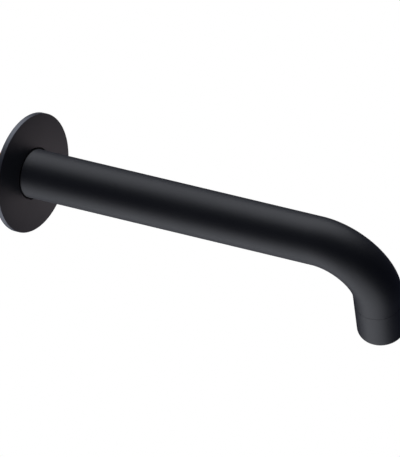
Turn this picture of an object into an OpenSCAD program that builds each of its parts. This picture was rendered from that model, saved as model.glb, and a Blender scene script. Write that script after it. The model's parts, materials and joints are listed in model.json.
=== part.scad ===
// Wall spout: a bent tube on a thin round wall flange, with an aerator in a screwed collar at the outlet.
// The tube axis meets the wall at the origin. The spout runs along -Y and turns down, +Z is up, +Y is into the wall.

/* [Tube] */
// Outer diameter of the tube and of the outlet collar
tube_d = 25; // [24.5:0.5:30]
// Wall thickness of the tube
tube_wall = 1.5; // [1.2:0.1:1.6]
// Length of the straight run, from the wall to the start of the bend
straight_l = 176; // [80:1:260]
// Radius of the bend at the middle of the tube
bend_r = 25.5; // [22:0.5:60]
// Angle that the tube turns through
bend_angle = 105; // [60:1:120]
// How much the wall thins on each face where the tube is drawn round the bend
bend_thinning = 0.03; // [0.03:0.01:0.08]
// Straight length of tube after the bend
leg_l = 6.5; // [5:0.5:40]

/* [Wall flange] */
// Outer diameter of the flange
flange_d = 61.5; // [56:0.5:90]
// Height of the upright edge of the flange
flange_edge_h = 2.4; // [1.5:0.1:4]
// Width of the bevel that breaks the front edge of the flange
flange_bevel_w = 0.25; // [0.1:0.05:2]
// Height of the bevel
flange_bevel_h = 0.25; // [0.1:0.05:1]
// Rise of the shallow cone from the bevel to the bore
flange_rise = 0.7; // [0.5:0.1:2]
// Gap between the flange bore and the tube
flange_gap = 0.7; // [0.4:0.1:0.9]
// Radius left on the front edge of the bore
flange_bore_chamfer = 0.3; // [0.1:0.1:0.4]
// Section diameter of the ring that grips the tube
grip_ring_d = 2; // [1.8:0.1:2.4]
// Thickness of the foam gasket behind the flange
gasket_t = 1; // [0.5:0.1:1.1]
// Width of the flange edge that closes round the gasket
gasket_edge_w = 2; // [1.5:0.1:4]
// Width of the rib between the grip ring and the gasket
gasket_rib_w = 1; // [0.8:0.1:3]

/* [Wall nipple] */
// Outer diameter of the G1/2 thread
thread_d = 20.955; // [20.5:0.005:21.5]
// Length of the thread behind the wall
thread_l = 15; // [10:1:40]
// Chamfer at the start of the thread
thread_chamfer = 1; // [0.5:0.1:1.5]
// Length of the spigot in front of the wall
spigot_l = 28; // [27:1:40]
// Running gap between the spigot and its bush
spigot_gap = 0.05; // [0.02:0.01:0.1]
// Diameter of the waterway through the nipple
nipple_bore_d = 9.5; // [8:0.1:9.8]
// Width across the flats of the hexagon key socket
nipple_key_af = 10; // [10:0.1:10.8]
// Depth of the hexagon key socket
nipple_key_l = 10; // [6:1:16]
// Section diameter of the spigot seals
seal_d = 1.8; // [1.5:0.1:2]
// Width of a seal groove
seal_groove_w = 2.2; // [2.1:0.1:2.6]
// Distance from the wall to the first seal
seal_y = 18.5; // [17:0.5:20]
// Distance from one seal to the next
seal_pitch = 5; // [4:0.5:6]
// Number of seals on the spigot
seal_count = 2; // [2:1:2]

/* [Inlet bush and grub screw] */
// Length of the inlet bush
inlet_bush_l = 27; // [26:1:40]
// Wall of the inlet bush, between the tube and the spigot
inlet_bush_wall = 2; // [1.8:0.1:2.2]
// Lead-in chamfer at the mouth of the bush
inlet_bush_chamfer = 0.4; // [0.2:0.1:0.5]
// Thread diameter of the grub screw
grub_d = 5; // [4:0.5:6]
// Distance from the wall to the grub screw
grub_y = 12; // [8:0.5:13]
// Depth of the grub screw below the tube surface
grub_sunk = 0.4; // [0.1:0.1:0.8]
// Radius of the flat tip of the grub screw
grub_tip_r = 0.8; // [0.5:0.1:1.2]
// Depth of the locking groove in the spigot
grub_groove_depth = 0.8; // [0.5:0.1:1.2]
// Gap beside the tip in the locking groove
grub_groove_gap = 0.05; // [0.02:0.01:0.2]
// Width across the flats of the grub screw socket
grub_key_af = 2.5; // [2:0.1:2.8]
// Depth of the grub screw socket
grub_key_l = 1.8; // [1.2:0.1:2.2]

/* [Outlet collar] */
// Height of the collar, from the seam to the tip
collar_h = 23; // [20:1:40]
// Radius round the lower outer edge of the collar
collar_edge_r = 0.6; // [0.2:0.1:0.9]
// Chamfer on each side of the seam
seam_chamfer = 0.15; // [0.05:0.05:0.3]
// Wall of the collar over its thread
collar_wall = 1.5; // [1.3:0.1:1.8]
// Height of the inward lip that carries the aerator
collar_lip_h = 1.5; // [1:0.1:2]
// Width of the inward lip
collar_lip_w = 1.2; // [0.8:0.1:1.4]
// Step between the thread and the plain bore of the collar
collar_step = 0.2; // [0.1:0.05:0.4]
// Chamfer inside the mouth of the collar
collar_mouth_chamfer = 0.4; // [0.2:0.1:0.8]
// Wall of the outlet bush
outlet_bush_wall = 1.8; // [1.4:0.1:1.9]
// Chamfer on the ends of the outlet bush
outlet_bush_chamfer = 0.4; // [0.2:0.1:0.6]

/* [Aerator] */
// Gap between the aerator housing and the collar
housing_gap = 0.2; // [0.1:0.05:0.3]
// Height of the housing above the lip of the collar
housing_h = 9; // [8.6:0.1:10]
// Height of the nose below the shoulder of the housing
housing_nose_h = 1.1; // [0.6:0.1:1.4]
// Wall of the housing round the screens
housing_wall = 2; // [1.8:0.1:2.2]
// Width of the ledge that carries the outlet grid
housing_ledge_w = 0.3; // [0.2:0.05:0.4]
// Height of the ledge above the end of the nose
housing_ledge_h = 1; // [0.6:0.1:1.2]
// Width of the step that carries the jet plate
housing_step_w = 0.4; // [0.3:0.05:0.6]
// Number of air slots in the housing
air_slots = 8; // [4:1:12]
// Width of an air slot
air_slot_w = 2; // [1:0.1:3]
// Height of an air slot
air_slot_h = 0.8; // [0.5:0.1:1]
// Height of the outlet grid
grid_h = 3; // [2.4:0.1:3.1]
// Width across the flats of a cell of the outlet grid
cell_af = 1.6; // [1.4:0.1:2.6]
// Wall between the cells of the outlet grid
cell_wall = 0.35; // [0.3:0.05:0.6]
// Width of the plain rim round the grid, the screens and the plates
plate_rim_w = 0.8; // [0.6:0.1:1]
// Height of the rim of a mixing screen
screen_h = 0.8; // [0.6:0.1:0.9]
// Thickness of the mesh of a mixing screen
mesh_t = 0.3; // [0.2:0.05:0.4]
// Side of a hole of the mesh
mesh_hole = 0.9; // [0.8:0.1:1.6]
// Width of the bars of the mesh
mesh_bar = 0.4; // [0.35:0.05:0.6]
// Thickness of the jet plate
jet_plate_t = 1.6; // [1:0.1:1.7]
// Diameter of a jet hole
jet_d = 1; // [0.6:0.1:1.2]
// Number of jet holes in each ring
jet_count = 12; // [8:1:14]
// Thickness of the floor of the regulator
regulator_floor_t = 0.7; // [0.5:0.1:0.8]
// Diameter of the post in the middle of the regulator
regulator_post_d = 5.2; // [4.6:0.1:5.6]
// Section diameter of the regulator ring
regulator_ring_d = 1.8; // [1.6:0.1:2]
// Number of ports in the regulator
port_count = 8; // [6:1:10]
// Diameter of a port
port_d = 1.6; // [1.2:0.1:1.8]
// Height of the base ring of the filter
filter_base_h = 1; // [0.8:0.1:1.2]
// Gap between the filter and the outlet bush
filter_gap = 0.2; // [0.1:0.05:0.4]
// Rise of the dome of the filter
dome_h = 3.5; // [3:0.1:4.5]
// Thickness of the dome
dome_t = 0.6; // [0.5:0.1:0.8]
// Number of slots round the dome
dome_slots = 18; // [12:1:20]
// Width of a slot of the dome
dome_slot_w = 0.9; // [0.6:0.1:1]
// Width of the ribs between the slots, at their inner ends
dome_rib_w = 0.3; // [0.25:0.05:0.5]
// Thickness of the rubber washer on the aerator
washer_t = 1.5; // [1.2:0.1:2]
// Gap between the rubber washer and the collar
washer_gap = 0.1; // [0.05:0.05:0.2]

/* [Hidden] */
$fn = 64;

// How far a cutter runs past the face that it opens
past = 1;

// Angle by which each end of the bend laps into the straight tube
bend_lap = 1;

// Tube
tube_r = tube_d / 2;
tube_bore_r = tube_r - tube_wall;

// Flange, heights from the wall
flange_r = flange_d / 2;
flange_bore_r = tube_r + flange_gap;
flange_bevel_top = flange_edge_h + flange_bevel_h;
flange_h = flange_bevel_top + flange_rise;
grip_seat_r = tube_r + grip_ring_d;
gasket_inner_r = grip_seat_r + gasket_rib_w;
gasket_outer_r = flange_r - gasket_edge_w;

// Nipple and its seals
thread_r = thread_d / 2;
inlet_bore_r = tube_bore_r - inlet_bush_wall;
spigot_r = inlet_bore_r - spigot_gap;
seal_floor_r = inlet_bore_r - seal_d;
grub_floor_r = spigot_r - grub_groove_depth;

// Outlet, heights above the tip
collar_bore_thread_r = tube_r - collar_wall;
collar_bore_r = collar_bore_thread_r - collar_step;
collar_lip_r = collar_bore_r - collar_lip_w;
outlet_bush_bore_r = tube_bore_r - outlet_bush_wall;
housing_r = collar_bore_r - housing_gap;
housing_nose_r = collar_lip_r - housing_gap / 2;
housing_bottom = collar_lip_h - housing_nose_h;
housing_top = collar_lip_h + housing_h;
chamber_r = housing_r - housing_wall;
plate_r = chamber_r + housing_step_w;
grid_z = housing_bottom + housing_ledge_h;
lower_screen_z = grid_z + grid_h;
upper_screen_z = lower_screen_z + screen_h;
air_slot_z = upper_screen_z + screen_h + 0.2;
jet_plate_z = air_slot_z + air_slot_h + 0.2;
regulator_z = jet_plate_z + jet_plate_t;
washer_z = housing_top;
outlet_bush_end = washer_z + washer_t;
collar_thread_end = outlet_bush_end - washer_t - 0.5;
filter_r = outlet_bush_bore_r - filter_gap;
dome_r = filter_r - plate_rim_w;

// Puts a piece that is built upwards from the wall on the tube axis
module at_wall() {
    rotate([90, 0, 0])
        children();
}

// Puts a piece that is built upwards from the tip on the axis of the outlet
module at_outlet() {
    translate([0, -straight_l, -bend_r])
        rotate([bend_angle, 0, 0])
            translate([0, -(leg_l + collar_h), bend_r])
                rotate([-90, 0, 0])
                    children();
}

// Plain ring: a tube wall between two heights
module ring(outer_r, inner_r, bottom, top) {
    translate([0, 0, bottom])
        difference() {
            cylinder(r = outer_r, h = top - bottom);
            translate([0, 0, -past])
                cylinder(r = inner_r, h = top - bottom + 2 * past);
        }
}

// Rubber ring of round section
module o_ring(middle_r, section_d, height) {
    translate([0, 0, height])
        rotate_extrude()
            translate([middle_r, 0])
                circle(d = section_d);
}

// Hexagon socket, given across its flats
module hex_socket(af, depth) {
    cylinder(d = af / cos(30), h = depth, $fn = 6);
}

// Tapped hole for the grub screw, through the underside of the tube
module grub_hole() {
    translate([0, -grub_y, -tube_r - past])
        cylinder(d = grub_d, h = tube_r - grub_floor_r + past);
}

// Solid bar along the bend
module bend_bar(bar_r) {
    translate([0, -straight_l, -bend_r])
        rotate([180, -90, 0])
            rotate(-bend_lap)
                rotate_extrude(angle = bend_angle + 2 * bend_lap)
                    translate([bend_r, 0])
                        circle(r = bar_r);
}

module spout_tube() {
    color("#232326")
        difference() {
            union() {
                at_wall()
                    cylinder(r = tube_r, h = straight_l);
                bend_bar(tube_r - bend_thinning);
                at_outlet() {
                    translate([0, 0, collar_h])
                        cylinder(r1 = tube_r - seam_chamfer, r2 = tube_r, h = seam_chamfer);
                    translate([0, 0, collar_h + seam_chamfer])
                        cylinder(r = tube_r, h = leg_l - seam_chamfer);
                }
            }
            union() {
                at_wall()
                    translate([0, 0, -past])
                        cylinder(r = tube_bore_r, h = straight_l + past);
                bend_bar(tube_bore_r + bend_thinning);
                at_outlet()
                    translate([0, 0, collar_h - past])
                        cylinder(r = tube_bore_r, h = leg_l + past);
            }
            grub_hole();
        }
}

module wall_flange() {
    color("#2b2b2e")
        at_wall()
            rotate_extrude()
                polygon([
                    [flange_r, 0],
                    [flange_r, flange_edge_h],
                    [flange_r - flange_bevel_w, flange_bevel_top],
                    [flange_bore_r + flange_bore_chamfer, flange_h],
                    [flange_bore_r, flange_h - flange_bore_chamfer],
                    [flange_bore_r, grip_ring_d],
                    [grip_seat_r, grip_ring_d],
                    [grip_seat_r, 0],
                    [gasket_inner_r, 0],
                    [gasket_inner_r, gasket_t],
                    [gasket_outer_r, gasket_t],
                    [gasket_outer_r, 0]
                ]);
}

module flange_grip_ring() {
    color("#151515")
        at_wall()
            o_ring(tube_r + grip_ring_d / 2, grip_ring_d, grip_ring_d / 2);
}

module flange_gasket() {
    color("#1d1d1d")
        at_wall()
            ring(gasket_outer_r, gasket_inner_r, 0, gasket_t);
}

module inlet_bush() {
    color("#c9a15a")
        difference() {
            at_wall()
                rotate_extrude()
                    polygon([
                        [inlet_bore_r + inlet_bush_chamfer, 0],
                        [tube_bore_r, 0],
                        [tube_bore_r, inlet_bush_l],
                        [inlet_bore_r, inlet_bush_l],
                        [inlet_bore_r, inlet_bush_chamfer]
                    ]);
            grub_hole();
        }
}

module wall_nipple() {
    color("#c9a15a")
        at_wall()
            difference() {
                union() {
                    translate([0, 0, -thread_l])
                        cylinder(r1 = thread_r - thread_chamfer, r2 = thread_r, h = thread_chamfer);
                    translate([0, 0, thread_chamfer - thread_l])
                        cylinder(r = thread_r, h = thread_l - thread_chamfer);
                    cylinder(r = spigot_r, h = spigot_l);
                }
                translate([0, 0, -thread_l - past])
                    cylinder(d = nipple_bore_d, h = thread_l + spigot_l + 2 * past);
                translate([0, 0, spigot_l - nipple_key_l])
                    hex_socket(nipple_key_af, nipple_key_l + past);
                for (i = [0 : seal_count - 1])
                    ring(spigot_r + past, seal_floor_r,
                        seal_y + i * seal_pitch - seal_groove_w / 2,
                        seal_y + i * seal_pitch + seal_groove_w / 2);
                rotate_extrude()
                    polygon([
                        [grub_floor_r, grub_y - grub_tip_r - grub_groove_gap],
                        [spigot_r + past, grub_y - grub_tip_r - grub_groove_depth - grub_groove_gap - past],
                        [spigot_r + past, grub_y + grub_tip_r + grub_groove_depth + grub_groove_gap + past],
                        [grub_floor_r, grub_y + grub_tip_r + grub_groove_gap]
                    ]);
            }
}

// Seals of the spigot, counted from the wall
module spigot_seal(i) {
    color("#151515")
        at_wall()
            o_ring(seal_floor_r + seal_d / 2, seal_d, seal_y + i * seal_pitch);
}

module grub_screw() {
    tip_h = grub_d / 2 - grub_tip_r;
    color("#8e9196")
        translate([0, -grub_y, 0])
            rotate([180, 0, 0])
                difference() {
                    union() {
                        translate([0, 0, grub_floor_r])
                            cylinder(r1 = grub_tip_r, r2 = grub_d / 2, h = tip_h);
                        translate([0, 0, grub_floor_r + tip_h])
                            cylinder(d = grub_d, h = tube_r - grub_sunk - grub_floor_r - tip_h);
                    }
                    translate([0, 0, tube_r - grub_sunk - grub_key_l])
                        hex_socket(grub_key_af, grub_key_l + past);
                }
}

module outlet_bush() {
    color("#c9a15a")
        at_outlet()
            rotate_extrude()
                polygon([
                    [outlet_bush_bore_r, outlet_bush_end],
                    [tube_bore_r - outlet_bush_chamfer, outlet_bush_end],
                    [tube_bore_r, outlet_bush_end + outlet_bush_chamfer],
                    [tube_bore_r, collar_h + leg_l],
                    [outlet_bush_bore_r + outlet_bush_chamfer, collar_h + leg_l],
                    [outlet_bush_bore_r, collar_h + leg_l - outlet_bush_chamfer]
                ]);
}

module aerator_collar() {
    color("#232326")
        at_outlet()
            rotate_extrude()
                difference() {
                    union() {
                        polygon([
                            [collar_lip_r, collar_mouth_chamfer],
                            [collar_lip_r + collar_mouth_chamfer, 0],
                            [tube_r - collar_edge_r, 0],
                            [tube_r - collar_edge_r, collar_edge_r],
                            [tube_r, collar_edge_r],
                            [tube_r, collar_h - seam_chamfer],
                            [tube_r - seam_chamfer, collar_h],
                            [collar_lip_r, collar_h]
                        ]);
                        intersection() {
                            translate([tube_r - collar_edge_r, collar_edge_r])
                                circle(r = collar_edge_r);
                            translate([tube_r - collar_edge_r, 0])
                                square(collar_edge_r);
                        }
                    }
                    translate([0, collar_lip_h])
                        square([collar_bore_r, collar_h]);
                    translate([0, collar_thread_end])
                        square([collar_bore_thread_r, collar_h]);
                }
}

module collar_washer() {
    color("#1a1a1a")
        at_outlet()
            ring(collar_bore_thread_r - washer_gap, outlet_bush_bore_r, washer_z, washer_z + washer_t);
}

module aerator_housing() {
    color("#dfe1e3")
        at_outlet()
            difference() {
                rotate_extrude()
                    polygon([
                        [chamber_r - housing_ledge_w, housing_bottom],
                        [housing_nose_r, housing_bottom],
                        [housing_nose_r, collar_lip_h],
                        [housing_r, collar_lip_h],
                        [housing_r, housing_top],
                        [plate_r, housing_top],
                        [plate_r, jet_plate_z],
                        [chamber_r, jet_plate_z],
                        [chamber_r, grid_z],
                        [chamber_r - housing_ledge_w, grid_z]
                    ]);
                for (i = [0 : air_slots - 1])
                    rotate([0, 0, i * 360 / air_slots])
                        translate([chamber_r - past, -air_slot_w / 2, air_slot_z])
                            cube([housing_wall + 2 * past, air_slot_w, air_slot_h]);
            }
}

// Honeycomb inside a plain rim
module outlet_grid() {
    pitch = cell_af + cell_wall;
    row_pitch = pitch * sin(60);
    open_r = chamber_r - plate_rim_w;
    rows = ceil(open_r / row_pitch);
    columns = ceil(open_r / pitch) + 1;
    color("#e8e9ea")
        at_outlet()
            translate([0, 0, grid_z])
                linear_extrude(grid_h)
                    difference() {
                        circle(r = chamber_r);
                        for (row = [-rows : rows])
                            for (column = [-columns : columns]) {
                                x = (column + (row % 2 == 0 ? 0 : 0.5)) * pitch;
                                y = row * row_pitch;
                                if (norm([x, y]) + cell_af / 2 < open_r)
                                    translate([x, y])
                                        rotate(30)
                                            circle(d = cell_af / cos(30), $fn = 6);
                            }
                    }
}

// Mixing screen: a rim with square mesh across it
module mixing_screen(bottom) {
    mesh_pitch = mesh_hole + mesh_bar;
    open_r = chamber_r - plate_rim_w;
    reach = ceil(open_r / mesh_pitch);
    color("#b9bcc0")
        at_outlet()
            translate([0, 0, bottom]) {
                linear_extrude(mesh_t)
                    difference() {
                        circle(r = chamber_r);
                        for (i = [-reach : reach])
                            for (j = [-reach : reach])
                                if (norm([i, j]) * mesh_pitch + mesh_hole / sqrt(2) < open_r)
                                    translate([i * mesh_pitch, j * mesh_pitch])
                                        square(mesh_hole, center = true);
                    }
                ring(chamber_r, open_r, mesh_t, screen_h);
            }
}

module jet_plate() {
    outer_ring_r = plate_r - plate_rim_w - jet_d;
    inner_ring_r = outer_ring_r - 2 * jet_d;
    color("#d9dbdd")
        at_outlet()
            translate([0, 0, jet_plate_z])
                difference() {
                    cylinder(r = plate_r, h = jet_plate_t);
                    for (i = [0 : jet_count - 1]) {
                        rotate([0, 0, i * 360 / jet_count])
                            translate([outer_ring_r, 0, -past])
                                cylinder(d = jet_d, h = jet_plate_t + 2 * past);
                        rotate([0, 0, (i + 0.5) * 360 / jet_count])
                            translate([inner_ring_r, 0, -past])
                                cylinder(d = jet_d, h = jet_plate_t + 2 * past);
                    }
                }
}

// Shallow cup with a post that carries the regulator ring, and ports round it
module regulator_body() {
    regulator_h = housing_top - regulator_z;
    port_ring_r = regulator_post_d / 2 + regulator_ring_d;
    color("#7fae5a")
        at_outlet()
            translate([0, 0, regulator_z]) {
                difference() {
                    cylinder(r = plate_r, h = regulator_h);
                    translate([0, 0, regulator_floor_t])
                        ring(plate_r - plate_rim_w, regulator_post_d / 2, 0, regulator_h);
                    for (i = [0 : port_count - 1])
                        rotate([0, 0, i * 360 / port_count])
                            translate([port_ring_r, 0, -past])
                                cylinder(d = port_d, h = regulator_floor_t + 2 * past);
                }
            }
}

module regulator_ring() {
    color("#b0392e")
        at_outlet()
            o_ring(regulator_post_d / 2 + regulator_ring_d / 2, regulator_ring_d,
                regulator_z + regulator_floor_t + regulator_ring_d / 2);
}

// Slotted dome on a plain base ring
module dome_filter() {
    base_z = housing_top;
    dome_z = base_z + filter_base_h;
    sphere_r = (dome_r * dome_r + dome_h * dome_h) / (2 * dome_h);
    slot_inner_r = dome_slots * (dome_slot_w + dome_rib_w) / (2 * PI);
    slot_outer_r = dome_r - 2 * dome_t;
    color("#9aa0a6")
        at_outlet()
            translate([0, 0, base_z])
                difference() {
                    rotate_extrude()
                        union() {
                            translate([dome_r - dome_t, 0])
                                square([filter_r - dome_r + dome_t, filter_base_h]);
                            intersection() {
                                translate([0, dome_z - base_z + dome_h - sphere_r])
                                    difference() {
                                        circle(r = sphere_r);
                                        circle(r = sphere_r - dome_t);
                                    }
                                translate([0, filter_base_h])
                                    square([dome_r, dome_h]);
                            }
                        }
                    for (i = [0 : dome_slots - 1])
                        rotate([0, 0, i * 360 / dome_slots])
                            translate([slot_inner_r, -dome_slot_w / 2, filter_base_h + dome_t])
                                cube([slot_outer_r - slot_inner_r, dome_slot_w, dome_h + past]);
                }
}

spout_tube();
wall_flange();
aerator_collar();
inlet_bush();
outlet_bush();
wall_nipple();
spigot_seal(0);  // spigot_seal_1
spigot_seal(1);  // spigot_seal_2
grub_screw();
flange_grip_ring();
flange_gasket();
collar_washer();
aerator_housing();
outlet_grid();
mixing_screen(lower_screen_z);  // lower_screen
mixing_screen(upper_screen_z);  // upper_screen
jet_plate();
regulator_body();
regulator_ring();
dome_filter();
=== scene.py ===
"""Dresses the wall spout: black tube, flange and collar, threaded nipple, finishes, light and camera."""

import json
import math

import bpy
from mathutils import Matrix, Quaternion, Vector


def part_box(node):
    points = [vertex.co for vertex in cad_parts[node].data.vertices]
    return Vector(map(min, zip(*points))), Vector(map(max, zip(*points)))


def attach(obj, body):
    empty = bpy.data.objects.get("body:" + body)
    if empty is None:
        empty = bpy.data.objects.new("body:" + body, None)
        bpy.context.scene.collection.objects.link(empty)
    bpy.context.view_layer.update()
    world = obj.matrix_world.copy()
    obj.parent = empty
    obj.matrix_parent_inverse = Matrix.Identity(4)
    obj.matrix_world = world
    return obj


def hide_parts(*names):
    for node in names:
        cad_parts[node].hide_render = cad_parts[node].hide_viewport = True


bl_info = {
    "name": "Wall spout",
    "version": (1, 0, 0),
    "blender": (4, 5, 0),
    "location": "View3D > Sidebar > Wall spout",
    "description": "Models and finishes a round wall spout around its packed construction",
    "category": "Object",
}

MM = 0.001
BODY = "root"

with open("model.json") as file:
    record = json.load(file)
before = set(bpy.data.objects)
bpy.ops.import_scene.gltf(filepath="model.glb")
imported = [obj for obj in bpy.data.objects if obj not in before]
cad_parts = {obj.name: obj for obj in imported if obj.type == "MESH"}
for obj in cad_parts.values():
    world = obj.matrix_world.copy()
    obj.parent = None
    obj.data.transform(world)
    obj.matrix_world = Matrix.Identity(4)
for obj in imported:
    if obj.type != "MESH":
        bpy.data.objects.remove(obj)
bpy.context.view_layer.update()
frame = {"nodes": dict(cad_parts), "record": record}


def extent(node, axis):
    """Size of a construction node along one axis, in metres."""
    low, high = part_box(node)
    return high[axis] - low[axis]


# Sizes taken from the construction
TUBE_RADIUS = extent("spout_tube", 0) / 2
FLANGE_RADIUS = extent("wall_flange", 0) / 2
FLANGE_HEIGHT = -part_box("wall_flange")[0][1]
THREAD_RADIUS = extent("wall_nipple", 0) / 2
THREAD_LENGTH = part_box("wall_nipple")[1][1]
SPIGOT_LENGTH = -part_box("wall_nipple")[0][1]
GASKET_RADIUS = extent("flange_gasket", 0) / 2
GASKET_THICKNESS = extent("flange_gasket", 1)
GRIP_RING_SECTION = extent("flange_grip_ring", 1)


def length_property(label, about, value):
    return bpy.props.FloatProperty(name=label, description=about, default=value, unit="LENGTH", precision=5)


def angle_property(label, about, degrees):
    angle = math.radians(degrees)
    return bpy.props.FloatProperty(name=label, description=about, default=angle, subtype="ANGLE")


def number_property(label, about, value):
    return bpy.props.FloatProperty(name=label, description=about, default=value, min=0.0)


def colour_property(label, about, text):
    return bpy.props.StringProperty(name=label, description=about, default=text, maxlen=7)


class TubeSizes(bpy.types.PropertyGroup):
    """Sizes of the bent tube and the collar on its end."""

    radius: length_property("Radius", "Outer radius of the tube and the collar", TUBE_RADIUS)
    wall: length_property("Wall", "Wall thickness of the tube", 1.5 * MM)
    straight: length_property("Straight run", "From the wall to the start of the bend", 176 * MM)
    bend_radius: length_property("Bend radius", "Radius of the bend at the middle of the tube", 25.5 * MM)
    bend_angle: angle_property("Bend angle", "Angle that the tube turns through", 105)
    leg: length_property("Leg", "Straight tube after the bend", 6.5 * MM)
    collar: length_property("Collar", "Height of the collar from the seam to the tip", 23 * MM)
    seam_width: length_property("Seam width", "Half the width of the fine groove at the seam", 0.09 * MM)
    seam_depth: length_property("Seam depth", "Depth of the fine groove at the seam", 0.35 * MM)


class CollarSizes(bpy.types.PropertyGroup):
    """Sizes of the outlet collar, inside and at its tip."""

    edge: length_property("Edge", "Radius round the tip", 0.6 * MM)
    wall: length_property("Wall", "Wall thickness over the thread", 1.5 * MM)
    thread_end: length_property("Thread end", "Height of the plain bore that holds the aerator", 10 * MM)
    step: length_property("Step", "Step from the thread to the plain bore", 0.2 * MM)
    lip_height: length_property("Lip height", "Height of the lip that carries the aerator", 1.5 * MM)
    lip_width: length_property("Lip width", "Width of the lip that carries the aerator", 1.2 * MM)
    mouth_chamfer: length_property("Mouth chamfer", "Chamfer inside the mouth", 0.4 * MM)


class FlangeSizes(bpy.types.PropertyGroup):
    """Sizes of the wall flange."""

    radius: length_property("Radius", "Outer radius", FLANGE_RADIUS)
    edge_height: length_property("Edge height", "Height of the upright edge", 2.4 * MM)
    edge_radius: length_property("Edge radius", "Radius that breaks the front edge", 0.25 * MM)
    height: length_property("Height", "Height at the bore", FLANGE_HEIGHT)
    bore_gap: length_property("Bore gap", "Gap between the bore and the tube", 0.7 * MM)
    bore_chamfer: length_property("Bore chamfer", "Chamfer on the front edge of the bore", 0.3 * MM)
    rib: length_property("Rib", "Width of the rib between the grip ring and the gasket", 1 * MM)
    softened: length_property("Softened edge", "Radius that the coat leaves on sharp edges", 0.1 * MM)


class NippleSizes(bpy.types.PropertyGroup):
    """Sizes of the threaded nipple."""

    radius: length_property("Thread radius", "Major radius of the pipe thread", THREAD_RADIUS)
    length: length_property("Thread length", "Length behind the wall", THREAD_LENGTH)
    pitch: length_property("Pitch", "Distance from crest to crest, 14 to the inch", 25.4 / 14 * MM)
    depth: length_property("Thread depth", "Depth of the thread", 1.162 * MM)
    chamfer: length_property("Chamfer", "Chamfer at the start of the thread", 1 * MM)
    bore: length_property("Bore", "Radius of the waterway", 4.75 * MM)
    spigot_radius: length_property("Spigot radius", "Radius of the spigot", 8.95 * MM)
    spigot_length: length_property("Spigot length", "Length in front of the wall", SPIGOT_LENGTH)
    spigot_chamfer: length_property("Spigot chamfer", "Chamfer at the end of the spigot", 0.4 * MM)
    groove_width: length_property("Groove width", "Width of a seal groove", 2.2 * MM)
    groove_floor: length_property("Groove floor", "Radius of the floor of a seal groove", 7.2 * MM)
    key: length_property("Key", "Hexagon socket across its flats", 10 * MM)
    key_depth: length_property("Key depth", "Depth of the hexagon socket", 10 * MM)


class FinishColours(bpy.types.PropertyGroup):
    """Colours of the finishes, as sRGB hex."""

    black: colour_property("Black coat", "Satin black coat on the tube, flange and collar", "#0e1014")
    rim: colour_property("Rim", "Bare turned rim of the flange", "#64666a")
    # Painted shade: a near-black colour for the bore of the flange and the tube in it, standing for the
    # shadow in the gap round the tube
    painted_gap_shade: colour_property("Oxide", "Blackened metal inside the bore of the flange", "#010101")
    brass: colour_property("Brass", "Machined brass", "#c9a25c")
    steel: colour_property("Steel", "Stainless steel", "#b9bbbe")
    rubber: colour_property("Rubber", "Seals", "#161617")
    foam: colour_property("Foam", "Gasket behind the flange", "#1f1f21")
    plastic: colour_property("Plastic", "Aerator housing, grid and jet plate", "#dadcdd")
    regulator: colour_property("Regulator", "Body of the flow regulator", "#6f9d4f")
    regulator_ring: colour_property("Regulator ring", "Rubber ring of the regulator", "#a8372d")
    strainer: colour_property("Strainer", "Domed strainer", "#8f969c")


class StageSettings(bpy.types.PropertyGroup):
    """Floor, lamps and camera."""

    floor_drop: length_property("Floor drop", "How far the floor lies below the wall axis", 1.3)
    floor_size: length_property("Floor size", "Side of the floor", 60.0)
    far_distance: length_property("Far distance", "From the spout to the large softboxes", 1.0)
    near_distance: length_property("Near distance", "From the flange to its own small softbox", 0.2)
    key_light: number_property("Key light", "Radiance of the softbox above and to the right", 1.77)
    side_light: number_property("Side light", "Radiance of the softbox below and to the left", 1.6)
    back_light: number_property("Back light", "Radiance of the softbox behind and below", 0.3)
    flange_light: number_property("Flange light", "Radiance of the small softbox below the flange", 1.20)
    room_light: number_property("Room light", "Radiance of the dim room", 0.063)
    softbox_colour: colour_property("Softbox colour", "Colour of the large softboxes", "#f4f7ff")
    flange_colour: colour_property("Flange light colour", "Colour of the small softbox", "#fff2f7")
    room_colour: colour_property("Room colour", "Colour of the dim room", "#c3c8ff")
    lens: number_property("Lens", "Focal length in millimetres", 1400.0)
    azimuth: angle_property("Azimuth", "Direction of the camera round the spout", -41.25)
    elevation: angle_property("Elevation", "Height of the camera", 44.64)
    roll: angle_property("Roll", "How far the camera leans to its right", 25.24)


class SpoutSettings(bpy.types.PropertyGroup):
    """All settings of the spout."""

    tube: bpy.props.PointerProperty(type=TubeSizes)
    collar: bpy.props.PointerProperty(type=CollarSizes)
    flange: bpy.props.PointerProperty(type=FlangeSizes)
    nipple: bpy.props.PointerProperty(type=NippleSizes)
    colours: bpy.props.PointerProperty(type=FinishColours)
    stage: bpy.props.PointerProperty(type=StageSettings)


def settings():
    return bpy.context.scene.wall_spout


# Materials


def linear(text):
    """sRGB hex to linear RGBA."""
    values = [int(text[i : i + 2], 16) / 255 for i in (1, 3, 5)]
    return [v / 12.92 if v <= 0.04045 else ((v + 0.055) / 1.055) ** 2.4 for v in values] + [1.0]


def add_node(owner, kind, values=None, links=None, **attributes):
    """Adds a node to a material or the world, with its settings and its links to other nodes' outputs."""
    node = owner.node_tree.nodes.new(kind)
    for name, value in attributes.items():
        setattr(node, name, value)
    for name, value in (values or {}).items():
        node.inputs[name].default_value = value
    for name, source in (links or {}).items():
        owner.node_tree.links.new(source, node.inputs[name])
    return node


def new_material(name):
    material = bpy.data.materials.new(name)
    material.use_nodes = True
    return material, material.node_tree.nodes["Principled BSDF"]


def set_ramp(node, stops):
    """Gives a colour ramp its stops, each a position and a linear colour."""
    ramp = node.color_ramp
    while len(ramp.elements) > 1:
        ramp.elements.remove(ramp.elements[-1])
    ramp.elements[0].position, ramp.elements[0].color = stops[0]
    for position, colour in stops[1:]:
        ramp.elements.new(position).color = colour


def shade(colour, factor):
    return [min(1.0, c * factor) for c in colour[:3]] + [1.0]


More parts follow.
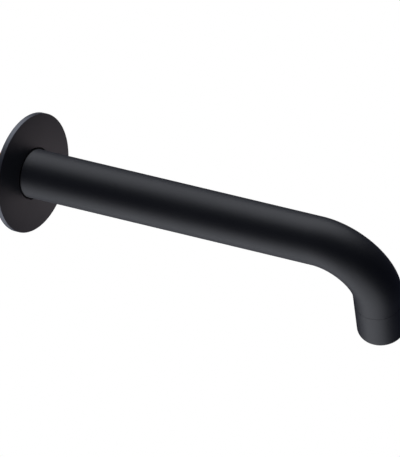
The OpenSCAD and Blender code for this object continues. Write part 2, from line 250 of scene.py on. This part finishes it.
def rim_and_gap_shade_masks(material, place, tube, flange):
    """Marks the bare turned rim of the flange, and its bore with the tube in it, where the coat gets
    painted shade for the shadow in the gap.
    """
    # The finishes pass into each other over a few tenths of a millimetre
    blend = 0.1 * MM
    # Height over the wall and distance from the tube axis
    height = add_node(material, "ShaderNodeSeparateXYZ", links={"Vector": place})
    near_wall = add_node(
        material,
        "ShaderNodeMapRange",
        {"From Min": -flange.height - blend, "From Max": -flange.height + 2 * blend},
        {"Value": height.outputs["Y"]},
        interpolation_type="SMOOTHSTEP",
    )
    across = add_node(
        material, "ShaderNodeVectorMath", {1: (1, 0, 1)}, {0: place}, operation="MULTIPLY"
    )
    radius = add_node(
        material, "ShaderNodeVectorMath", links={0: across.outputs["Vector"]}, operation="LENGTH"
    )
    edge = flange.radius - flange.edge_radius
    beyond_edge = add_node(
        material,
        "ShaderNodeMapRange",
        {"From Min": edge - blend, "From Max": edge + blend},
        {"Value": radius.outputs["Value"]},
        interpolation_type="SMOOTHSTEP",
    )
    rim = add_node(
        material,
        "ShaderNodeMath",
        links={0: near_wall.outputs["Result"], 1: beyond_edge.outputs["Result"]},
        operation="MULTIPLY",
    )
    # Painted shade: a mask inside the bore next to the wall, where the gap round the tube would lie in
    # shadow
    bore = tube.radius + flange.bore_gap
    within_bore = add_node(
        material,
        "ShaderNodeMapRange",
        {"From Min": bore + 4 * blend, "From Max": bore + 2 * blend},
        {"Value": radius.outputs["Value"]},
        interpolation_type="SMOOTHSTEP",
    )
    ring = add_node(
        material,
        "ShaderNodeMath",
        links={0: near_wall.outputs["Result"], 1: within_bore.outputs["Result"]},
        operation="MULTIPLY",
    )
    return rim, ring


def satin_black_coat(colours, tube, flange):
    """Electrophoretic black lacquer on brass: a smooth satin coat with a faint orange peel in its gloss."""
    material, surface = new_material("satin_black_coat")
    place = add_node(material, "ShaderNodeTexCoord").outputs["Object"]
    # Orange peel about 0.8 mm across, drawn shallow
    peel = add_node(
        material,
        "ShaderNodeTexNoise",
        {"Scale": 1 / (0.8 * MM), "Detail": 2.0, "Roughness": 0.5},
        {"Vector": place},
    )
    # Slow drift of the gloss over the length of the tube, about 30 mm across
    drift = add_node(
        material,
        "ShaderNodeTexNoise",
        {"Scale": 1 / (30 * MM), "Detail": 1.0, "Roughness": 0.4},
        {"Vector": place},
    )
    tone = add_node(material, "ShaderNodeValToRGB", links={"Fac": drift.outputs["Fac"]})
    base = linear(colours.black)
    set_ramp(tone, [(0.3, shade(base, 0.94)), (0.7, shade(base, 1.06))])
    gloss = add_node(
        material,
        "ShaderNodeMapRange",
        {"From Min": 0.3, "From Max": 0.7, "To Min": 0.51, "To Max": 0.55},
        {"Value": drift.outputs["Fac"]},
    )
    bump = add_node(
        material,
        "ShaderNodeBump",
        {"Strength": 0.05, "Distance": 0.05 * MM},
        {"Height": peel.outputs["Fac"]},
    )
    rim, ring = rim_and_gap_shade_masks(material, place, tube, flange)
    # The turned rim of the flange is bare grey metal, which catches more light than the coat
    with_rim = add_node(
        material,
        "ShaderNodeMix",
        {"B": linear(colours.rim)},
        {"Factor": rim.outputs[0], "A": tone.outputs["Color"]},
        data_type="RGBA",
    )
    # Painted shade: the bore of the flange and the tube in it get a near-black metal, standing for the
    # shadow in the gap that makes the dark ring at the root of the tube, since the flange casts no shadow
    with_gap_shade = add_node(
        material,
        "ShaderNodeMix",
        {"B": linear(colours.painted_gap_shade)},
        {"Factor": ring.outputs[0], "A": with_rim.outputs[2]},
        data_type="RGBA",
    )
    # The bare rim is metal, and so is the painted shade in the bore, where a near-black metal reflects
    # almost nothing
    metal_rim_and_gap_shade = add_node(
        material,
        "ShaderNodeMath",
        links={0: rim.outputs[0], 1: ring.outputs[0]},
        operation="MAXIMUM",
    )
    links = material.node_tree.links
    links.new(with_gap_shade.outputs[2], surface.inputs["Base Color"])
    links.new(metal_rim_and_gap_shade.outputs[0], surface.inputs["Metallic"])
    links.new(gloss.outputs["Result"], surface.inputs["Roughness"])
    links.new(bump.outputs["Normal"], surface.inputs["Normal"])
    surface.inputs["IOR"].default_value = 1.5
    return material


def turned_metal(name, text, roughness, groove_mm, axis="Y"):
    """Metal turned on a lathe: fine rings along the axis and a streaky gloss."""
    material, surface = new_material(name)
    place = add_node(material, "ShaderNodeTexCoord").outputs["Object"]
    # Tool marks, drawn two to three times as coarse as real ones so that they show
    # The wave repeats every tau / 20, so this scale gives one groove in groove_mm
    rings = add_node(
        material,
        "ShaderNodeTexWave",
        {"Scale": math.tau / 20 / (groove_mm * MM), "Distortion": 0.4, "Detail": 2.0, "Detail Scale": 2.0},
        {"Vector": place},
        wave_type="BANDS",
        bands_direction=axis,
    )
    # Uneven tone and gloss left by the machining, in patches about 6 mm across
    cloud = add_node(
        material,
        "ShaderNodeTexNoise",
        {"Scale": 1 / (6.25 * MM), "Detail": 3.0, "Roughness": 0.55},
        {"Vector": place},
    )
    base = linear(text)
    tone = add_node(material, "ShaderNodeValToRGB", links={"Fac": cloud.outputs["Fac"]})
    set_ramp(tone, [(0.3, shade(base, 0.86)), (0.7, shade(base, 1.05))])
    gloss = add_node(
        material,
        "ShaderNodeMapRange",
        {"To Min": roughness - 0.05, "To Max": roughness + 0.08},
        {"Value": cloud.outputs["Fac"]},
    )
    bump = add_node(
        material,
        "ShaderNodeBump",
        {"Strength": 0.25, "Distance": 0.015 * MM},
        {"Height": rings.outputs["Fac"]},
    )
    links = material.node_tree.links
    links.new(tone.outputs["Color"], surface.inputs["Base Color"])
    links.new(gloss.outputs["Result"], surface.inputs["Roughness"])
    links.new(bump.outputs["Normal"], surface.inputs["Normal"])
    surface.inputs["Metallic"].default_value = 1.0
    return material


def moulded(name, text, roughness, grain_mm, grain_depth_mm, ior):
    """Moulded plastic or rubber: an even colour, a fine grain from the mould and slightly uneven gloss."""
    material, surface = new_material(name)
    place = add_node(material, "ShaderNodeTexCoord").outputs["Object"]
    grain = add_node(
        material, "ShaderNodeTexNoise", {"Scale": 1 / (grain_mm * MM), "Detail": 2.0}, {"Vector": place}
    )
    base = linear(text)
    tone = add_node(material, "ShaderNodeValToRGB", links={"Fac": grain.outputs["Fac"]})
    set_ramp(tone, [(0.3, shade(base, 0.93)), (0.7, shade(base, 1.04))])
    gloss = add_node(
        material,
        "ShaderNodeMapRange",
        {"To Min": roughness - 0.04, "To Max": roughness + 0.06},
        {"Value": grain.outputs["Fac"]},
    )
    bump = add_node(
        material,
        "ShaderNodeBump",
        {"Strength": 0.3, "Distance": grain_depth_mm * MM},
        {"Height": grain.outputs["Fac"]},
    )
    links = material.node_tree.links
    links.new(tone.outputs["Color"], surface.inputs["Base Color"])
    links.new(gloss.outputs["Result"], surface.inputs["Roughness"])
    links.new(bump.outputs["Normal"], surface.inputs["Normal"])
    surface.inputs["IOR"].default_value = ior
    return material


def foam_rubber(colours):
    """Closed-cell foam: small open pores cut across by the knife, dull all over."""
    material, surface = new_material("closed_cell_foam")
    place = add_node(material, "ShaderNodeTexCoord").outputs["Object"]
    # Cells about 0.5 mm across
    cells = add_node(
        material, "ShaderNodeTexVoronoi", {"Scale": 1 / (0.5 * MM), "Randomness": 1.0}, {"Vector": place}
    )
    base = linear(colours.foam)
    # Painted shade: the colour turns darker towards the middle of each cell, where the bump sinks the pores
    tone = add_node(material, "ShaderNodeValToRGB", links={"Fac": cells.outputs["Distance"]})
    set_ramp(tone, [(0.15, shade(base, 0.5)), (0.5, shade(base, 1.2))])
    bump = add_node(
        material,
        "ShaderNodeBump",
        {"Strength": 0.7, "Distance": 0.1 * MM},
        {"Height": cells.outputs["Distance"]},
    )
    links = material.node_tree.links
    links.new(tone.outputs["Color"], surface.inputs["Base Color"])
    links.new(bump.outputs["Normal"], surface.inputs["Normal"])
    surface.inputs["Roughness"].default_value = 0.85
    return material


# Modelling helpers


def select_only(piece):
    bpy.ops.object.select_all(action="DESELECT")
    bpy.context.view_layer.objects.active = piece
    piece.select_set(True)


def apply_modifiers(piece):
    select_only(piece)
    for modifier in list(piece.modifiers):
        bpy.ops.object.modifier_apply(modifier=modifier.name)


def bevel_edges(piece, width, segments, angle):
    modifier = piece.modifiers.new("Softened edges", "BEVEL")
    modifier.width = width
    modifier.segments = segments
    modifier.limit_method = "ANGLE"
    modifier.angle_limit = math.radians(angle)
    modifier.harden_normals = False


def cut_away(piece, cutter):
    """Takes the cutter's shape out of a piece and deletes the cutter."""
    cut = piece.modifiers.new("Cut", "BOOLEAN")
    cut.operation = "DIFFERENCE"
    cut.solver = "EXACT"
    cut.object = cutter
    apply_modifiers(piece)
    bpy.data.objects.remove(cutter)


def put_in_place(piece, matrix):
    """Moves the mesh, so that the object itself stays at the origin."""
    piece.data.transform(matrix)
    piece.data.update()


def finish_piece(piece, material, slot, *nodes, smooth_angle=30):
    """Shades a piece, gives it its finish, and lets it ride and stand for its construction nodes."""
    select_only(piece)
    bpy.ops.object.transform_apply(location=True, rotation=True, scale=True)
    bpy.ops.object.shade_smooth_by_angle(angle=math.radians(smooth_angle))
    piece.data.materials.clear()
    piece.data.materials.append(material)
    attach(piece, BODY)
    if nodes:
        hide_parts(*nodes)


def let_light_past(piece):
    """Keeps a piece from shading the root of the tube, because the softboxes reach behind the wall."""
    piece.visible_shadow = False
    piece.visible_glossy = False


def turned_ring(name, profile, segments=128):
    """Turns a closed profile of (radius, height) points about +Z, from one ring extruded and scaled."""
    first_radius, first_height = profile[0]
    bpy.ops.object.select_all(action="DESELECT")
    bpy.ops.mesh.primitive_circle_add(
        vertices=segments, radius=first_radius, fill_type="NOTHING", location=(0, 0, first_height)
    )
    piece = bpy.context.active_object
    piece.name = name
    bpy.ops.object.transform_apply(location=True, rotation=True, scale=True)
    bpy.ops.object.mode_set(mode="EDIT")
    bpy.ops.mesh.select_all(action="SELECT")
    radius, height = first_radius, first_height
    for next_radius, next_height in profile[1:] + profile[:1]:
        bpy.ops.mesh.extrude_region_move(
            TRANSFORM_OT_translate={"value": (0, 0, next_height - height)}
        )
        factor = next_radius / radius
        bpy.ops.transform.resize(value=(factor, factor, 1), center_override=(0, 0, next_height))
        radius, height = next_radius, next_height
    bpy.ops.mesh.select_all(action="SELECT")
    bpy.ops.mesh.remove_doubles(threshold=0.001 * MM)
    bpy.ops.mesh.normals_make_consistent(inside=False)
    bpy.ops.object.mode_set(mode="OBJECT")
    return piece


def arc(centre, radius, start, end, steps):
    """Points of an arc in a profile, with angles in degrees."""
    turn = [math.radians(start + (end - start) * i / steps) for i in range(steps + 1)]
    return [(centre[0] + radius * math.cos(a), centre[1] + radius * math.sin(a)) for a in turn]


def wall_matrix():
    """Carries a piece that is built upwards from the wall onto the tube axis."""
    return Matrix.Rotation(math.radians(90), 4, "X")


def outlet_matrix(tube):
    """Carries a piece that is built upwards from the tip onto the axis of the outlet."""
    to_bend = Matrix.Translation((0, -tube.straight, -tube.bend_radius))
    round_bend = Matrix.Rotation(tube.bend_angle, 4, "X")
    to_tip = Matrix.Translation((0, -(tube.leg + tube.collar), tube.bend_radius))
    upright = Matrix.Rotation(math.radians(-90), 4, "X")
    return to_bend @ round_bend @ to_tip @ upright


# Operators


class SPOUT_OT_tube(bpy.types.Operator):
    """Bends the tube from one ring: straight run, bend and leg, then its wall and the grub screw hole"""

    bl_idname = "spout.tube"
    bl_label = "Tube"

    def execute(self, context):
        tube = settings().tube
        bpy.ops.object.select_all(action="DESELECT")
        bpy.ops.mesh.primitive_circle_add(
            vertices=128,
            radius=tube.radius,
            fill_type="NOTHING",
            location=(0, 0, 0),
            rotation=(math.radians(90), 0, 0),
        )
        piece = context.active_object
        piece.name = "bent_tube"
        bpy.ops.object.transform_apply(location=True, rotation=True, scale=True)
        bpy.ops.object.mode_set(mode="EDIT")
        bpy.ops.mesh.select_all(action="SELECT")
        straight_steps = 12
        for _ in range(straight_steps):
            bpy.ops.mesh.extrude_region_move(
                TRANSFORM_OT_translate={"value": (0, -tube.straight / straight_steps, 0)}
            )
        bpy.ops.mesh.spin(
            steps=64,
            angle=tube.bend_angle,
            center=(0, -tube.straight, -tube.bend_radius),
            axis=(-1, 0, 0),
        )
        down = Vector((0, -math.cos(tube.bend_angle), -math.sin(tube.bend_angle)))
        bpy.ops.mesh.extrude_region_move(
            TRANSFORM_OT_translate={"value": down * (tube.leg - tube.seam_width)}
        )
        bpy.ops.mesh.extrude_region_move(TRANSFORM_OT_translate={"value": down * tube.seam_width})
        narrow = (tube.radius - tube.seam_depth) / tube.radius
        seam = outlet_matrix(tube) @ Vector((0, 0, tube.collar))
        bpy.ops.transform.resize(value=(narrow, narrow, narrow), center_override=seam)
        bpy.ops.mesh.select_all(action="SELECT")
        bpy.ops.mesh.normals_make_consistent(inside=False)
        bpy.ops.object.mode_set(mode="OBJECT")
        wall = piece.modifiers.new("Wall", "SOLIDIFY")
        wall.thickness = tube.wall
        wall.offset = -1
        apply_modifiers(piece)
        low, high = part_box("grub_screw")
        bpy.ops.object.select_all(action="DESELECT")
        bpy.ops.mesh.primitive_cylinder_add(
            vertices=48,
            radius=(high[0] - low[0]) / 2,
            depth=4 * tube.wall,
            location=((low[0] + high[0]) / 2, (low[1] + high[1]) / 2, -tube.radius),
        )
        cut_away(piece, context.active_object)
        finish_piece(piece, bpy.data.materials["satin_black_coat"], "black_finish", "spout_tube")
        return {"FINISHED"}


class SPOUT_OT_collar(bpy.types.Operator):
    """Turns the outlet collar with its rounded tip, its side of the seam groove and inner lip"""

    bl_idname = "spout.collar"
    bl_label = "Outlet collar"

    def execute(self, context):
        tube = settings().tube
        collar = settings().collar
        bore = tube.radius - collar.wall
        plain_bore = bore - collar.step
        lip = plain_bore - collar.lip_width
        mouth = collar.mouth_chamfer
        edge = collar.edge
        profile = [(lip, mouth), (lip + mouth, 0.0)]
        profile += arc((tube.radius - edge, edge), edge, -90, 0, 6)
        profile += [
            (tube.radius, tube.collar - tube.seam_width),
            (tube.radius - tube.seam_depth, tube.collar),
            (bore, tube.collar),
            (bore, collar.thread_end),
            (plain_bore, collar.thread_end),
            (plain_bore, collar.lip_height),
            (lip, collar.lip_height),
        ]
        piece = turned_ring("outlet_collar", profile)
        put_in_place(piece, outlet_matrix(tube))
        finish_piece(piece, bpy.data.materials["satin_black_coat"], "black_finish", "aerator_collar")
        return {"FINISHED"}


class SPOUT_OT_flange(bpy.types.Operator):
    """Turns the wall flange with its thin upright rim, shallow cone, seal seat and gasket recess"""

    bl_idname = "spout.flange"
    bl_label = "Wall flange"

    def execute(self, context):
        flange = settings().flange
        tube = settings().tube
        bore = tube.radius + flange.bore_gap
        ring_seat = tube.radius + GRIP_RING_SECTION
        rib = ring_seat + flange.rib
        profile = [
            (flange.radius, 0.0),
            *arc((flange.radius - flange.edge_radius, flange.edge_height), flange.edge_radius, 0, 86, 5),
            (bore + flange.bore_chamfer, flange.height),
            (bore, flange.height - flange.bore_chamfer),
            (bore, GRIP_RING_SECTION),
            (ring_seat, GRIP_RING_SECTION),
            (ring_seat, 0.0),
            (rib, 0.0),
            (rib, GASKET_THICKNESS),
            (GASKET_RADIUS, GASKET_THICKNESS),
            (GASKET_RADIUS, 0.0),
        ]
        piece = turned_ring("flange_disc", profile, segments=192)
        bevel_edges(piece, flange.softened, segments=2, angle=18)
        apply_modifiers(piece)
        put_in_place(piece, wall_matrix())
        coat = bpy.data.materials["satin_black_coat"]
        finish_piece(piece, coat, "black_finish", "wall_flange", smooth_angle=12)
        let_light_past(piece)
        let_light_past(frame["nodes"]["flange_gasket"])
        return {"FINISHED"}


class SPOUT_OT_nipple(bpy.types.Operator):
    """Turns the nipple, rolls its pipe thread from the mesh and cuts the hexagon socket"""

    bl_idname = "spout.nipple"
    bl_label = "Wall nipple"

    def execute(self, context):
        nipple = settings().nipple
        rows_per_turn = 14
        rows = round(nipple.length / nipple.pitch * rows_per_turn)
        profile = [(nipple.radius, -nipple.length * (1 - i / rows)) for i in range(rows + 1)]
        profile.append((nipple.spigot_radius, 0.0))
        for seal in ("spigot_seal_1", "spigot_seal_2"):
            low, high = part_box(seal)
            middle = -(low[1] + high[1]) / 2
            lower, upper = middle - nipple.groove_width / 2, middle + nipple.groove_width / 2
            profile += [(nipple.spigot_radius, lower), (nipple.groove_floor, lower)]
            profile += [(nipple.groove_floor, upper), (nipple.spigot_radius, upper)]
        profile += [
            (nipple.spigot_radius, nipple.spigot_length - nipple.spigot_chamfer),
            (nipple.spigot_radius - nipple.spigot_chamfer, nipple.spigot_length),
            (nipple.bore, nipple.spigot_length),
            (nipple.bore, -nipple.length),
        ]
        piece = turned_ring("threaded_nipple", profile, segments=96)
        self.cut_thread(piece, nipple)
        socket_start = nipple.spigot_length - nipple.key_depth
        bpy.ops.object.select_all(action="DESELECT")
        bpy.ops.mesh.primitive_cylinder_add(
            vertices=6,
            radius=nipple.key / 2 / math.cos(math.radians(30)),
            depth=2 * nipple.key_depth,
            location=(0, 0, socket_start + nipple.key_depth),
        )
        cut_away(piece, context.active_object)
        put_in_place(piece, wall_matrix())
        finish_piece(piece, bpy.data.materials["turned_brass"], "raw_brass", "wall_nipple", smooth_angle=50)
        return {"FINISHED"}

    def cut_thread(self, piece, nipple):
        """Sinks the outer rows of the thread into a right-hand helix with rounded crests and roots."""
        runout = 1.5 * nipple.pitch
        rounding = 0.85
        for vertex in piece.data.vertices:
            x, y, height = vertex.co
            radius = math.hypot(x, y)
            if height > 0 or abs(radius - nipple.radius) > 0.001 * MM:
                continue
            turn = (height / nipple.pitch - math.atan2(y, x) / math.tau) % 1
            slope = abs(2 * turn - 1)
            cut = slope - rounding * math.sin(math.tau * slope) / math.tau
            fade = min(1.0, -height / runout)
            new_radius = nipple.radius - nipple.depth * cut * fade
            cone = nipple.radius - nipple.chamfer + (height + nipple.length)
            new_radius = min(new_radius, cone)
            vertex.co.x *= new_radius / radius
            vertex.co.y *= new_radius / radius


class SPOUT_OT_finishes(bpy.types.Operator):
    """Makes every finish and gives the construction nodes theirs"""

    bl_idname = "spout.finishes"
    bl_label = "Finishes"

    def execute(self, context):
        colours = settings().colours
        coat = satin_black_coat(colours, settings().tube, settings().flange)
        brass = turned_metal("turned_brass", colours.brass, 0.28, 0.25)
        steel = turned_metal("stainless_steel", colours.steel, 0.3, 0.2)
        wire = turned_metal("drawn_steel_wire", colours.steel, 0.22, 0.15, axis="X")
        rubber = moulded("moulded_rubber", colours.rubber, 0.6, 0.3, 0.02, 1.52)
        foam = foam_rubber(colours)
        plastic = moulded("moulded_acetal", colours.plastic, 0.42, 0.4, 0.01, 1.48)
        regulator = moulded("moulded_green_acetal", colours.regulator, 0.4, 0.4, 0.01, 1.48)
        ring = moulded("red_rubber", colours.regulator_ring, 0.55, 0.3, 0.02, 1.52)
        strainer = moulded("moulded_grey_nylon", colours.strainer, 0.45, 0.4, 0.01, 1.53)
        finish_of = {
            "black_finish": coat,
            "raw_brass": brass,
            "stainless_steel": steel,
            "screen_steel": wire,
            "black_rubber": rubber,
            "foam_rubber": foam,
            "aerator_plastic": plastic,
            "regulator_plastic": regulator,
            "regulator_rubber": ring,
            "filter_plastic": strainer,
        }
        for part in frame["record"]["subparts"]:
            node = frame["nodes"][part["node"]]
            node.data.materials.clear()
            node.data.materials.append(finish_of[part["material_slot"]])
        return {"FINISHED"}


class SPOUT_OT_stage(bpy.types.Operator):
    """Sets the floor, the softboxes, the dim room and the camera"""

    bl_idname = "spout.stage"
    bl_label = "Stage"

    def execute(self, context):
        stage = settings().stage
        self.add_floor(stage)
        self.add_world(context.scene, stage)
        self.add_lamps(stage)
        self.add_camera(context.scene, stage)
        context.scene.view_settings.view_transform = "Standard"
        return {"FINISHED"}

    def add_floor(self, stage):
        """Adds a pale floor, plain white to the camera and clear from below, so that the outlet shows."""
        bpy.ops.mesh.primitive_plane_add(size=stage.floor_size, location=(0, 0, -stage.floor_drop))
        floor = bpy.context.active_object
        floor.name = "pale_floor"
        material, surface = new_material("pale_floor")
        surface.inputs["Base Color"].default_value = linear("#f4f4f4")
        surface.inputs["Roughness"].default_value = 0.9
        glow = add_node(material, "ShaderNodeEmission", {"Color": linear("#ffffff"), "Strength": 1.0})
        clear = add_node(material, "ShaderNodeBsdfTransparent")
        path = add_node(material, "ShaderNodeLightPath")
        side = add_node(material, "ShaderNodeNewGeometry")
        above = add_node(
            material,
            "ShaderNodeMixShader",
            links={0: path.outputs["Is Camera Ray"], 1: surface.outputs[0], 2: glow.outputs[0]},
        )
        both = add_node(
            material,
            "ShaderNodeMixShader",
            links={0: side.outputs["Backfacing"], 1: above.outputs[0], 2: clear.outputs[0]},
        )
        output = material.node_tree.nodes["Material Output"]
        material.node_tree.links.new(both.outputs[0], output.inputs["Surface"])
        floor.data.materials.append(material)
        # The dark bands of the coat mirror a dim room in the photograph, and a white floor or background in
        # its gloss would turn it grey, so only the camera sees them and Is Glossy Ray is left out here
        floor.visible_glossy = False

    def add_world(self, scene, stage):
        """Adds a dim, bluish room behind a background that is white to the camera."""
        world = bpy.data.worlds.new("dim_room")
        world.use_nodes = True
        scene.world = world
        room = world.node_tree.nodes["Background"]
        room.inputs["Color"].default_value = linear(stage.room_colour)
        room.inputs["Strength"].default_value = stage.room_light
        white = add_node(world, "ShaderNodeBackground", {"Color": linear("#ffffff"), "Strength": 1.0})
        path = add_node(world, "ShaderNodeLightPath")
        both = add_node(
            world,
            "ShaderNodeMixShader",
            links={0: path.outputs["Is Camera Ray"], 1: room.outputs[0], 2: white.outputs[0]},
        )
        world.node_tree.links.new(both.outputs[0], world.node_tree.nodes["World Output"].inputs["Surface"])

    def add_lamps(self, stage):
        """Lights the spout from above right, below left and behind, and its flange with a small softbox."""
        # About the middle of the spout
        spout = Vector((0, -0.12, -0.01))
        far = stage.far_distance
        colour = stage.softbox_colour
        key = self.add_softbox("key_softbox", 1.5, 1.2, stage.key_light, colour)
        self.aim_lamp(key, spout, Vector((0.66, 0.27, 0.70)), far)
        side = self.add_softbox("side_softbox", 1.6, 1.2, stage.side_light, colour)
        self.aim_lamp(side, spout, Vector((-0.84, 0.04, -0.54)), far)
        back = self.add_softbox("back_softbox", 0.9, 1.8, stage.back_light, colour)
        self.aim_lamp(back, spout, Vector((-0.47, 0.54, -0.70)), far)
        small = self.add_softbox("flange_softbox", 0.12, 0.12, stage.flange_light, stage.flange_colour)
        self.aim_lamp(small, Vector((0, 0, 0)), Vector((0.47, -0.54, -0.70)), stage.near_distance)

    def add_softbox(self, name, length, width, radiance, colour):
        """Adds a rectangular lamp, its sides in metres, that the camera doesn't see."""
        bpy.ops.object.light_add(type="AREA")
        lamp = bpy.context.active_object
        lamp.name = name
        lamp.data.shape = "RECTANGLE"
        lamp.data.size = length
        lamp.data.size_y = width
        lamp.data.color = linear(colour)[:3]
        # The power of a flat lamp is pi times its area times its radiance
        lamp.data.energy = math.pi * length * width * radiance
        lamp.visible_camera = False
        return lamp

    def aim_lamp(self, lamp, target, direction, distance):
        """Puts a lamp at a distance from a point, in the given direction, and turns it to the point."""
        lamp.location = target + direction.normalized() * distance
        lamp.rotation_mode = "QUATERNION"
        lamp.rotation_quaternion = direction.to_track_quat("Z", "Y")

    def add_camera(self, scene, stage):
        """Adds the camera far away with a long lens, because the photograph has hardly any perspective."""
        back = Vector(
            (
                math.sin(stage.azimuth) * math.cos(stage.elevation),
                -math.cos(stage.azimuth) * math.cos(stage.elevation),
                math.sin(stage.elevation),
            )
        )
        turn = back.to_track_quat("Z", "Y") @ Quaternion((0, 0, 1), -stage.roll)
        right = turn @ Vector((1, 0, 0))
        up = turn @ Vector((0, 1, 0))
        sensor_mm = 36.0
        width_px, height_px = 400, 457
        # Where the photograph shows the middle of the flange's rim, and the size of a pixel there
        rim_px = (30.79, 172.40)
        rim_middle = Vector((0, -0.9 * MM, 0))
        pixel = 0.50393 * MM
        bpy.ops.object.camera_add(
            location=rim_middle
            + right * (width_px / 2 - rim_px[0]) * pixel
            - up * (height_px / 2 - rim_px[1]) * pixel
            + back * (pixel * height_px * stage.lens / sensor_mm)
        )
        camera = bpy.context.active_object
        camera.rotation_mode = "QUATERNION"
        camera.rotation_quaternion = turn
        camera.data.lens = stage.lens
        camera.data.sensor_width = sensor_mm
        camera.data.clip_start = 0.1
        camera.data.clip_end = 200.0
        scene.camera = camera


class SPOUT_PT_panel(bpy.types.Panel):
    """Lists the steps that build the spout"""

    bl_label = "Wall spout"
    bl_space_type = "VIEW_3D"
    bl_region_type = "UI"
    bl_category = "Wall spout"

    def draw(self, context):
        for operator in STEPS:
            self.layout.operator(operator.bl_idname)


STEPS = (
    SPOUT_OT_finishes,
    SPOUT_OT_tube,
    SPOUT_OT_collar,
    SPOUT_OT_flange,
    SPOUT_OT_nipple,
    SPOUT_OT_stage,
)
GROUPS = (TubeSizes, CollarSizes, FlangeSizes, NippleSizes, FinishColours, StageSettings, SpoutSettings)
CLASSES = GROUPS + STEPS + (SPOUT_PT_panel,)


def register():
    for spout_class in CLASSES:
        bpy.utils.register_class(spout_class)
    bpy.types.Scene.wall_spout = bpy.props.PointerProperty(type=SpoutSettings)


def unregister():
    del bpy.types.Scene.wall_spout
    for spout_class in reversed(CLASSES):
        bpy.utils.unregister_class(spout_class)


def main():
    register()
    bpy.ops.spout.finishes()
    bpy.ops.spout.tube()
    bpy.ops.spout.collar()
    bpy.ops.spout.flange()
    bpy.ops.spout.nipple()
    bpy.ops.spout.stage()


if __name__ == "__main__":
    main()
